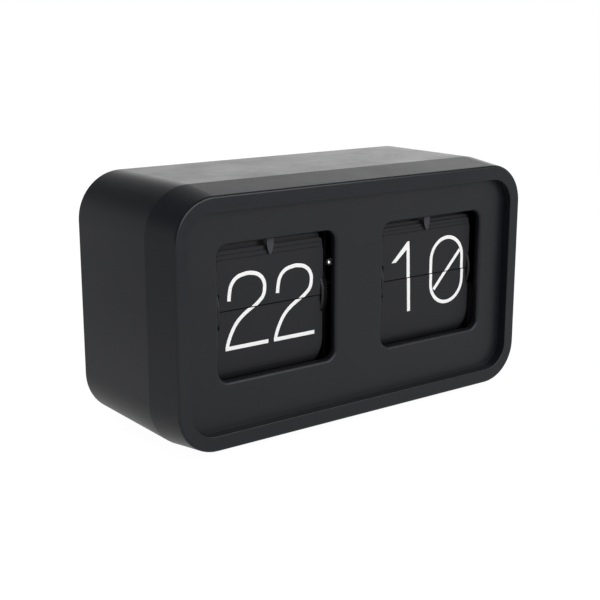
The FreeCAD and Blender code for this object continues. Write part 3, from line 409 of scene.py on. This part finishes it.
def worked_metal(name, color, roughness, stretch, marks=6000.0, depth=0.1, drift=0.06):
    """Bare metal with fine tool marks."""
    material, tree, shader = new_material(name)
    link = tree.links.new
    lines = use_group(
        tree, streak_group,
        {"Stretch": stretch, "Marks per metre": marks, "Depth": depth, "Roughness": roughness},
    )
    shader.inputs["Metallic"].default_value = 1.0
    link(drifting_color(tree, color, drift), shader.inputs["Base Color"])
    link(lines.outputs["Roughness"], shader.inputs["Roughness"])
    link(lines.outputs["Normal"], shader.inputs["Normal"])
    return material


def battery_wrap():
    """A printed can: dark body, a copper band at the positive end and bare metal ends."""
    material, tree, shader = new_material("battery wrap")
    link = tree.links.new
    place = add_node(tree, "ShaderNodeTexCoord")
    split = add_node(tree, "ShaderNodeSeparateXYZ")
    along = add_node(tree, "ShaderNodeMapRange", values={"From Min": can_from, "From Max": can_to})
    bands = add_node(tree, "ShaderNodeValToRGB")
    bare = add_node(tree, "ShaderNodeValToRGB")
    skin = use_group(tree, grain_group, {"Grain per metre": 900.0, "Depth": 0.05, "Roughness": 0.28})
    ramp = bands.color_ramp
    ramp.interpolation = "CONSTANT"
    ramp.elements[0].color = bare_can
    ramp.elements[1].position = can_wrap_start
    ramp.elements[1].color = (0.03, 0.035, 0.05, 1.0)
    for position, color in ((can_copper_start, (0.62, 0.30, 0.12, 1.0)), (can_cap_start, bare_can)):
        ramp.elements.new(position).color = color
    ends = bare.color_ramp
    ends.interpolation = "CONSTANT"
    ends.elements[0].color = (1, 1, 1, 1)
    ends.elements[1].position = can_wrap_start
    ends.elements[1].color = (0, 0, 0, 1)
    ends.elements.new(can_cap_start).color = (1, 1, 1, 1)
    shader.inputs["Coat Weight"].default_value = 0.3
    link(place.outputs["Object"], split.inputs[0])
    link(split.outputs["X"], along.inputs["Value"])
    link(along.outputs["Result"], bands.inputs["Fac"])
    link(along.outputs["Result"], bare.inputs["Fac"])
    link(bands.outputs["Color"], shader.inputs["Base Color"])
    link(bare.outputs["Color"], shader.inputs["Metallic"])
    link(skin.outputs["Roughness"], shader.inputs["Roughness"])
    link(skin.outputs["Normal"], shader.inputs["Normal"])
    return material


finishes = {
    "case_plastic": moulded("case plastic", (0.0092, 0.0105, 0.0138), 0.25, 1700.0, 0.10, 0.05, dust=0.03),
    "face_plastic": moulded("face plastic", (0.0084, 0.0094, 0.0126), 0.36, 1500.0, 0.14, 0.05),
    "cover_plastic": moulded("cover plastic", (0.0185, 0.0192, 0.0210), 0.50, 800.0, 0.5, 0.08),
    "rubber": moulded("foot rubber", (0.022, 0.022, 0.023), 0.82, 600.0, 0.4, 0.2),
    "cell_wrap": battery_wrap(),
    "brass_contact": worked_metal("contact brass", (0.78, 0.62, 0.34), 0.32, (0.1, 1.0, 0.1), drift=0.12),
    "red_lead": moulded("red insulation", (0.42, 0.018, 0.016), 0.42, 700.0, 0.15, 0.1),
    "black_lead": moulded("black insulation", (0.016, 0.016, 0.017), 0.42, 700.0, 0.15, 0.2),
    "dark_frame": moulded("black painted sheet", (0.010, 0.010, 0.011), 0.55, 700.0, 0.35, 0.2),
    "steel": worked_metal("turned steel", (0.56, 0.56, 0.57), 0.3, (1.0, 0.05, 0.05)),
    "bright_stud": worked_metal(
        "bright stud", (0.92, 0.92, 0.94), 0.38, (1.0, 0.05, 0.05), depth=0.04, drift=0.02,
    ),
    "finger_metal": moulded("grey spring steel", (0.036, 0.037, 0.044), 0.42, 900.0, 0.12, 0.08),
    "drum_plastic": moulded("drum plastic", (0.008, 0.008, 0.009), 0.5, 1300.0, 0.2, 0.1),
    "white_plastic": moulded("white gear plastic", (0.80, 0.80, 0.77), 0.42, 1200.0, 0.12, 0.03),
    "drive_case": moulded("drive case plastic", (0.045, 0.045, 0.049), 0.5, 900.0, 0.3, 0.12),
    "setting_plastic": moulded("setting wheel plastic", (0.014, 0.014, 0.0155), 0.48, 1200.0, 0.25, 0.15),
    "screw_steel": worked_metal(
        "zinc screws", (0.55, 0.55, 0.53), 0.36, (0.4, 0.4, 1.0), marks=2500.0, drift=0.12,
    ),
    "leaf_plastic": moulded("leaf sheet", (0.0072, 0.0079, 0.0102), 0.44, 1100.0, 0.10, 0.06, 1.42),
}
numeral_ink = moulded("numeral ink", (0.91, 0.91, 0.91), 0.55, 1600.0, 0.08, 0.015)

for row in frame["record"]["subparts"]:
    node = nodes[row["node"]]
    node.data.materials.clear()
    node.data.materials.append(finishes[row["material_slot"]])


def finish_piece(piece, name, body, material):
    piece.name = name
    piece.data.name = name
    piece.data.materials.clear()
    piece.data.materials.append(material)
    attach(piece, body)


# Numerals, on a card whose X starts at the window's middle and whose height is the clock's own
def shifted(points, dx):
    return [(x + dx, z) for x, z in points]


def long_round(left, right, low, high):
    """Points of an upright ring with straight sides and round ends."""
    half = (right - left) / 2
    middle = (right + left) / 2
    turns = [math.radians(turn) for turn in range(0, 181, round_step)]
    top = [(middle + half * math.cos(turn), high - half + half * math.sin(turn)) for turn in turns]
    bottom = [(middle - half * math.cos(turn), low + half - half * math.sin(turn)) for turn in turns]
    return top + bottom


two_top = [(-40.4, 119.1), (-39.7, 125.4), (-37.9, 131.8), (-33.0, 136.9), (-26.5, 138.9), (-19.0, 139.0),
           (-11.4, 136.2), (-7.2, 130.8), (-6.5, 125.0), (-8.1, 119.0), (-11.9, 115.2), (-16.3, 112.0),
           (-24.6, 106.6)]
two_low = [(-11.0, 115.3), (-18.5, 111.0), (-27.3, 105.6), (-33.2, 100.3), (-37.7, 93.4), (-40.5, 87.2),
           (-41.8, 83.0), (-42.1, 79.6)]
two_base = [(-43.7, 80.8), (-2.8, 80.8)]
three_top = [(-39.6, 125.6), (-37.8, 132.0), (-33.0, 136.9), (-26.0, 138.9), (-19.0, 139.0), (-11.6, 136.2),
             (-7.6, 130.8), (-7.2, 125.0), (-9.6, 119.2), (-15.4, 115.3), (-22.6, 114.0), (-28.4, 113.9)]
three_low = [(-28.4, 113.9), (-22.6, 113.8), (-13.2, 112.6), (-6.6, 107.4), (-4.2, 99.6), (-6.2, 90.8),
             (-12.6, 84.0), (-22.6, 81.0), (-32.6, 82.8), (-39.4, 88.4), (-41.6, 95.2)]
one_top = [(-40.4, 127.9), (-35.5, 127.9), (-23.4, 137.9), (-22.4, 106.0), (-18.9, 106.0), (-20.0, 138.0),
           (-20.5, 145.0), (-22.4, 145.0)]
one_low = [(-22.2, 120.0), (-18.7, 120.0), (-17.5, 82.4), (-20.9, 82.4)]
zero_top = long_round(5.6, 43.2, 84.6, 143.4)
zero_low = long_round(6.3, 44.2, 84.6, 143.4)
zero_slash = [(40.3, 130.4), (25.0, 114.0), (10.1, 97.8)]


def numeral_strokes(figure, upper, dx):
    if figure == "2" and upper:
        return [stroke(shifted(two_top, dx))]
    if figure == "2":
        base = stroke(shifted(two_base, dx), sharp=(0, 1), depth=crossing_depth)
        return [stroke(shifted(two_low, dx)), base]
    if figure == "3":
        return [stroke(shifted(three_top if upper else three_low, dx))]
    if figure == "1":
        return [filled_shape(shifted(one_top if upper else one_low, dx))]
    outline = zero_top if upper else zero_low
    ring = stroke(outline, cyclic=True, sharp=range(len(outline)))
    slash = stroke(zero_slash, sharp=(0, 1, 2), depth=crossing_depth)
    return [ring, slash]


def numeral_half(figures, upper, split_height):
    pieces = []
    for position, figure in enumerate(figures):
        dx = second_digit_shift * position if figure != "0" else 0.0
        pieces += numeral_strokes(figure, upper, dx)
    for piece in pieces:
        keep_side(piece, split_height, above=upper)
    return join("numerals", pieces)


def joint_place(name):
    """Where a joint's axis stands, in millimetres."""
    row = next(joint for joint in frame["joints"] if joint["name"] == name)
    return [coordinate / MM for coordinate in row["pos_m"]]


def number_cards(name, leaves, figures, following):
    """The number that shows, and the halves of the following one that wait behind it."""
    centre_x, pin_y, pin_z = joint_place(name + "_leaf_flip")
    axis_y, axis_z = joint_place(name + "_drum_spin")[1:]
    front_angle = math.atan2(pin_z - axis_z, axis_y - pin_y)
    pitch = math.radians(360.0 / leaves)

    def ring_place(angle):
        return axis_y - pin_ring_radius * math.cos(angle), axis_z + pin_ring_radius * math.sin(angle)

    next_pin_y, next_pin_z = ring_place(front_angle + pitch)
    lower_pin_z = ring_place(front_angle - pitch)[1]
    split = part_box(name + "_falling_leaf")[0].z / MM
    lower_low, lower_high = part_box(name + "_lower_leaf")

    upper = numeral_half(figures, True, split)
    stand_on_card(upper, centre_x, pin_y - sheet_half)
    finish_piece(upper, name + "_numerals_upper", name + "_leaf", numeral_ink)

    lower = numeral_half(figures, False, lower_high.z / MM)
    stand_on_card(lower, centre_x, lower_low.y / MM)
    finish_piece(lower, name + "_numerals_lower", "root", numeral_ink)

    waiting = numeral_half(following, True, split)
    stand_on_card(waiting, centre_x, next_pin_y - sheet_half, next_pin_z - pin_z)
    finish_piece(waiting, name + "_numerals_next_upper", "root", numeral_ink)

    behind = numeral_half(following, False, lower_high.z / MM)
    hang_behind_card(behind, centre_x, pin_y + sheet_half, pin_z + lower_pin_z)
    finish_piece(behind, name + "_numerals_next_lower", name + "_leaf", numeral_ink)


number_cards("hour", hour_leaves, "22", "23")
number_cards("minute", minute_leaves, "10", "11")


# Raised marks on the back
def raise_on_back(piece, centre_x, centre_z, face_y):
    """From the flat drawing to the back of the clock, where left and right change places."""
    back = Matrix(((-1, 0, 0, centre_x), (0, 0, 1, face_y), (0, 1, 0, centre_z), (0, 0, 0, 1)))
    piece.data.transform(Matrix.Scale(MM, 4) @ back)


def setting_arrow():
    tip = arrow_half_length
    neck = tip - arrow_head
    half = mark_width / 2
    wing = arrow_head * arrow_wing_share
    outline = [(-half, -neck), (-wing, -neck), (0.0, -tip), (wing, -neck), (half, -neck),
               (half, neck), (wing, neck), (0.0, tip), (-wing, neck), (-half, neck)]
    return filled_shape(outline, mark_height)


def polarity_sign(plus):
    across = [(-sign_size / 2, 0.0), (sign_size / 2, 0.0)]
    bar = [stroke(across, sharp=(0, 1), width=mark_width, depth=mark_height)]
    if plus:
        half = mark_width / 2
        for side in (-1, 1):
            post = [(0.0, side * half), (0.0, side * sign_size / 2)]
            bar.append(stroke(post, sharp=(0, 1), width=mark_width, depth=mark_height))
    return join("sign", bar)


def door_grip():
    ribs = []
    for index in range(grip_ribs):
        z = (index - (grip_ribs - 1) / 2) * grip_rib_pitch
        ends = [(-grip_rib_length / 2, z), (grip_rib_length / 2, z)]
        ribs.append(stroke(ends, sharp=(0, 1), width=grip_rib_width, depth=mark_height))
    return join("grip", ribs)


door_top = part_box("battery_door")[1].z / MM
door_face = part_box("battery_door")[1].y / MM
wheel_height = (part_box("setting_wheel")[0].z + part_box("setting_wheel")[1].z) / 2 / MM
cell_height = (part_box("battery_cell")[0].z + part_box("battery_cell")[1].z) / 2 / MM
cover_finish = finishes["cover_plastic"]

arrow = setting_arrow()
raise_on_back(arrow, arrow_x, wheel_height, cover_face)
finish_piece(arrow, "setting_arrow", "root", cover_finish)
for name, side, plus in (("plus_sign", 1, True), ("minus_sign", -1, False)):
    sign = polarity_sign(plus)
    raise_on_back(sign, side * sign_x, cell_height, cover_face)
    finish_piece(sign, name, "root", cover_finish)
grip = door_grip()
raise_on_back(grip, 0.0, door_top - grip_drop, door_face)
finish_piece(grip, "door_grip", "door", cover_finish)


# Room, floor, lamps and camera
def behind_camera_rays(tree, plain, seen_by_camera, seen_in_gloss):
    """Joins three shaders: for most light, for the camera's own view, and for reflections in the object."""
    path = add_node(tree, "ShaderNodeLightPath")
    clear = add_node(tree, "ShaderNodeMath", {"operation": "MAXIMUM"})
    gloss_mix = add_node(tree, "ShaderNodeMixShader")
    camera_mix = add_node(tree, "ShaderNodeMixShader")
    link = tree.links.new
    link(path.outputs["Is Glossy Ray"], clear.inputs[0])
    link(path.outputs["Is Transmission Ray"], clear.inputs[1])
    link(clear.outputs[0], gloss_mix.inputs["Fac"])
    link(plain.outputs[0], gloss_mix.inputs[1])
    link(seen_in_gloss.outputs[0], gloss_mix.inputs[2])
    link(path.outputs["Is Camera Ray"], camera_mix.inputs["Fac"])
    link(gloss_mix.outputs[0], camera_mix.inputs[1])
    link(seen_by_camera.outputs[0], camera_mix.inputs[2])
    return camera_mix


def add_range(tree, limits):
    names = ("From Min", "From Max", "To Min", "To Max")
    return add_node(tree, "ShaderNodeMapRange", values=zip(names, limits))


def make_world():
    """A white room. In reflections it is brighter to the right and to the rear, and darker overhead."""
    world = bpy.data.worlds.new("studio")
    bpy.context.scene.world = world
    world.use_nodes = True
    tree = world.node_tree
    tree.nodes.clear()
    soft = add_node(tree, "ShaderNodeBackground", values={"Color": (1, 1, 1, 1), "Strength": room_light})
    white = add_node(tree, "ShaderNodeBackground", values={"Color": (1, 1, 1, 1), "Strength": room_white})
    mirrored = add_node(tree, "ShaderNodeBackground", values={"Color": (1, 1, 1, 1)})
    way = add_node(tree, "ShaderNodeTexCoord")
    split = add_node(tree, "ShaderNodeSeparateXYZ")
    to_right = add_range(tree, wall_by_x)
    to_rear = add_range(tree, wall_by_y)
    overhead = add_range(tree, wall_by_z)
    wall = add_node(tree, "ShaderNodeMath", {"operation": "MULTIPLY"})
    card = add_node(tree, "ShaderNodeMath", {"operation": "MULTIPLY"})
    out = add_node(tree, "ShaderNodeOutputWorld")
    link = tree.links.new
    link(way.outputs["Generated"], split.inputs[0])
    link(split.outputs["X"], to_right.inputs["Value"])
    link(split.outputs["Z"], overhead.inputs["Value"])
    link(split.outputs["Y"], to_rear.inputs["Value"])
    link(to_right.outputs["Result"], wall.inputs[0])
    link(to_rear.outputs["Result"], wall.inputs[1])
    link(wall.outputs[0], card.inputs[0])
    link(overhead.outputs["Result"], card.inputs[1])
    link(card.outputs[0], mirrored.inputs["Strength"])
    both = behind_camera_rays(tree, soft, white, mirrored)
    link(both.outputs[0], out.inputs["Surface"])


def make_floor():
    """Pale paper, white with a faint shadow. In reflections its brightness changes from front to rear."""
    bpy.ops.mesh.primitive_plane_add(size=floor_size, location=(0, 0, -floor_drop))
    floor = bpy.context.object
    floor.name = "floor"
    material = bpy.data.materials.new("studio floor")
    material.use_nodes = True
    tree = material.node_tree
    tree.nodes.clear()
    link = tree.links.new
    paper = add_node(tree, "ShaderNodeBsdfDiffuse", values={"Color": (0.82, 0.82, 0.82, 1)})
    shadow = add_node(tree, "ShaderNodeBsdfDiffuse", values={"Color": (0.06, 0.06, 0.06, 1)})
    white = add_node(tree, "ShaderNodeEmission", values={"Color": (1, 1, 1, 1), "Strength": floor_white})
    seen = add_node(tree, "ShaderNodeAddShader")
    place = add_node(tree, "ShaderNodeTexCoord")
    split = add_node(tree, "ShaderNodeSeparateXYZ")
    from_front = add_range(tree, floor_span)
    fade = add_node(tree, "ShaderNodeValToRGB")
    mirrored = add_node(tree, "ShaderNodeEmission", values={"Color": (1, 1, 1, 1)})
    out = add_node(tree, "ShaderNodeOutputMaterial")
    link(shadow.outputs[0], seen.inputs[0])
    link(white.outputs[0], seen.inputs[1])
    link(place.outputs["Object"], split.inputs[0])
    for element, (position, level) in zip(fade.color_ramp.elements, floor_ends):
        element.position = position
        element.color = (level, level, level, 1.0)
    for position, level in floor_middle:
        fade.color_ramp.elements.new(position).color = (level, level, level, 1.0)
    link(split.outputs["Y"], from_front.inputs["Value"])
    link(from_front.outputs["Result"], fade.inputs["Fac"])
    link(fade.outputs["Color"], mirrored.inputs["Strength"])
    both = behind_camera_rays(tree, paper, seen, mirrored)
    link(both.outputs[0], out.inputs["Surface"])
    floor.data.materials.append(material)


def add_softbox(name, place, target, size, watts):
    light = bpy.data.lights.new(name, "AREA")
    light.shape = "RECTANGLE"
    light.size = size[0]
    light.size_y = size[1]
    light.energy = watts
    lamp = bpy.data.objects.new(name, light)
    bpy.context.scene.collection.objects.link(lamp)
    lamp.location = place
    lamp.rotation_euler = (Vector(target) - Vector(place)).to_track_quat("-Z", "Y").to_euler()
    return lamp


def make_camera():
    camera = bpy.data.cameras.new("camera")
    camera.sensor_width = sensor_width
    camera.lens = camera_lens
    camera.clip_start = camera_near
    eye = bpy.data.objects.new("camera", camera)
    bpy.context.scene.collection.objects.link(eye)
    eye.location = camera_place
    eye.rotation_euler = camera_turn
    bpy.context.scene.camera = eye


make_world()
make_floor()
add_softbox("key", place=(0.35, -2.1, 1.1), target=(0, 0, 0.1), size=(3.0, 1.7), watts=38.0)

# The rear lamp makes the back visible and gives no reflections
rear_fill = add_softbox("rear fill", place=(-0.5, 2.1, 1.1), target=(0, 0, 0.1), size=(2.4, 1.4), watts=30.0)
rear_fill.visible_glossy = False

# This small lamp lights the stud alone, for the glint beside the left drum
stud_light = add_softbox(
    "stud light", place=(-0.80, -0.95, 0.50), target=(0, -0.02, 0.13), size=(0.5, 1.0), watts=24.0
)
stud_only = bpy.data.collections.new("stud only")
stud_only.objects.link(nodes["centre_stud"])
stud_light.light_linking.receiver_collection = stud_only
make_camera()
bpy.context.scene.view_settings.view_transform = "Standard"
